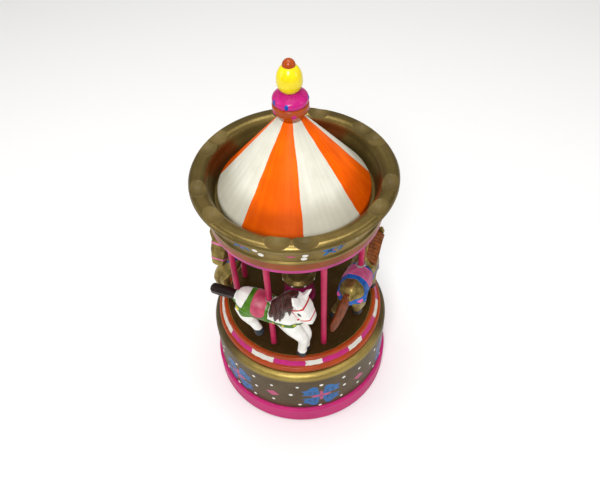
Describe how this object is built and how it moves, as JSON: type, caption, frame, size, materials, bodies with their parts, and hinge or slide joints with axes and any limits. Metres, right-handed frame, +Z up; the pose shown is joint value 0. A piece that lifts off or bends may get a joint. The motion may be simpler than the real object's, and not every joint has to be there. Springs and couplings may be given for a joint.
{
  "type": "wind up music box",
  "caption": "Wind-up carousel music box: a round drum with a pinned-cylinder movement turns a platform of rising and falling horses under a striped conical roof.",
  "frame": {"origin": "centre of the underside, on the surface it stands on", "axes": "+Z up along the carousel's axis of rotation, front towards -Y"},
  "size_m": [0.1, 0.1, 0.2016],
  "materials": {
    "felt": "dense wool felt",
    "pink_paint": "gloss paint on turned wood",
    "gold_paint": "metallic paint on turned wood, satin",
    "plain_wood": "bare wood",
    "steel": "bright steel",
    "die_cast": "die-cast, as cast",
    "brass": "satin brass",
    "nylon": "natural nylon",
    "orange_paint": "gloss paint on turned wood",
    "pole_paint": "gloss paint on dowel",
    "wine_paint": "gloss paint on turned wood",
    "roof_paint": "painted stripes on turned wood, satin",
    "terracotta_paint": "gloss paint on turned wood",
    "finial_pink_paint": "gloss paint on turned wood",
    "yellow_paint": "gloss paint on turned wood",
    "white_horse_paint": "gloss paint on carved wood",
    "gold_horse_paint": "metallic paint on carved wood",
    "dark_tail_paint": "gloss paint on carved wood",
    "copper_tail_paint": "metallic paint on carved wood"
  },
  "bodies": {
    "base": {"felt_foot_ring": "felt", "plinth_ring": "pink_paint", "base_drum": "gold_paint", "bottom_plate": "plain_wood", "bottom_plate_screws": "steel", "bedplate": "die_cast", "movement_screws": "steel", "bearing_posts": "die_cast", "clutch_spring": "steel", "comb": "steel", "comb_screws": "steel", "governor_bracket": "die_cast", "governor_wheel_post": "die_cast", "top_bushing": "brass", "thrust_washer": "nylon", "cam_ring": "plain_wood"},
    "carousel": {"spring_barrel": "brass", "barrel_lid": "brass", "mainspring": "steel", "output_shaft": "steel", "drive_hub": "brass", "hub_screws": "steel", "platform": "orange_paint", "pole_eyelets": "brass", "fixed_poles": "pole_paint", "column_post": "wine_paint", "column_capital": "gold_paint", "column_dowel": "plain_wood", "canopy_ring": "gold_paint", "canopy_screw": "steel", "dome": "roof_paint", "finial_collar": "terracotta_paint", "finial_bead": "finial_pink_paint", "finial_ball": "yellow_paint", "finial_tip": "terracotta_paint", "finial_pin": "steel"},
    "cylinder": {"music_cylinder": "brass", "cylinder_pins": "brass", "cylinder_arbor": "steel", "cylinder_pinion": "brass", "cylinder_gear": "brass"},
    "governor_wheel": {"governor_wheel": "brass", "governor_pinion": "brass", "governor_arbor": "steel"},
    "fan": {"governor_worm": "steel", "air_brake_fan": "nylon"},
    "winder": {"winding_key": "brass", "winding_arbor": "steel"},
    "horse_front": {"horse_front_body": "white_horse_paint", "horse_front_tail": "dark_tail_paint", "horse_front_pole": "pole_paint"},
    "horse_right": {"horse_right_body": "gold_horse_paint", "horse_right_tail": "copper_tail_paint", "horse_right_pole": "pole_paint"},
    "horse_back": {"horse_back_body": "white_horse_paint", "horse_back_tail": "dark_tail_paint", "horse_back_pole": "pole_paint"},
    "horse_left": {"horse_left_body": "gold_horse_paint", "horse_left_tail": "copper_tail_paint", "horse_left_pole": "pole_paint"}
  },
  "joints": [
    {"name": "carousel_spin", "type": "hinge", "parent": "base", "child": "carousel", "pos_m": [0, 0, 0.05], "axis": [0, 0, 1], "continuous": true},
    {"name": "cylinder_spin", "type": "hinge", "parent": "base", "child": "cylinder", "pos_m": [0.0221, 0, 0.03], "axis": [1, 0, 0], "continuous": true},
    {"name": "governor_wheel_spin", "type": "hinge", "parent": "base", "child": "governor_wheel", "pos_m": [0.0221, -0.012, 0.03], "axis": [1, 0, 0], "continuous": true},
    {"name": "fan_spin", "type": "hinge", "parent": "base", "child": "fan", "pos_m": [0.0221, -0.0178, 0.03], "axis": [0, 0, 1], "continuous": true},
    {"name": "key_wind", "type": "hinge", "parent": "base", "child": "winder", "pos_m": [0, 0, 0.01], "axis": [0, 0, 1], "range_deg": [0, 1440]},
    {"name": "horse_front_lift", "type": "slide", "parent": "carousel", "child": "horse_front", "axis": [0, 0, 1], "range_m": [-0.00065, 0.00335]},
    {"name": "horse_right_lift", "type": "slide", "parent": "carousel", "child": "horse_right", "axis": [0, 0, 1], "range_m": [-0.00335, 0.00065]},
    {"name": "horse_back_lift", "type": "slide", "parent": "carousel", "child": "horse_back", "axis": [0, 0, 1], "range_m": [-0.00065, 0.00335]},
    {"name": "horse_left_lift", "type": "slide", "parent": "carousel", "child": "horse_left", "axis": [0, 0, 1], "range_m": [-0.00335, 0.00065]}
  ],
  "couplings": [
    {"joint": "cylinder_spin", "follows": "carousel_spin", "ratio": 4},
    {"joint": "governor_wheel_spin", "follows": "carousel_spin", "ratio": -6.6667},
    {"joint": "fan_spin", "follows": "carousel_spin", "ratio": -120}
  ]
}
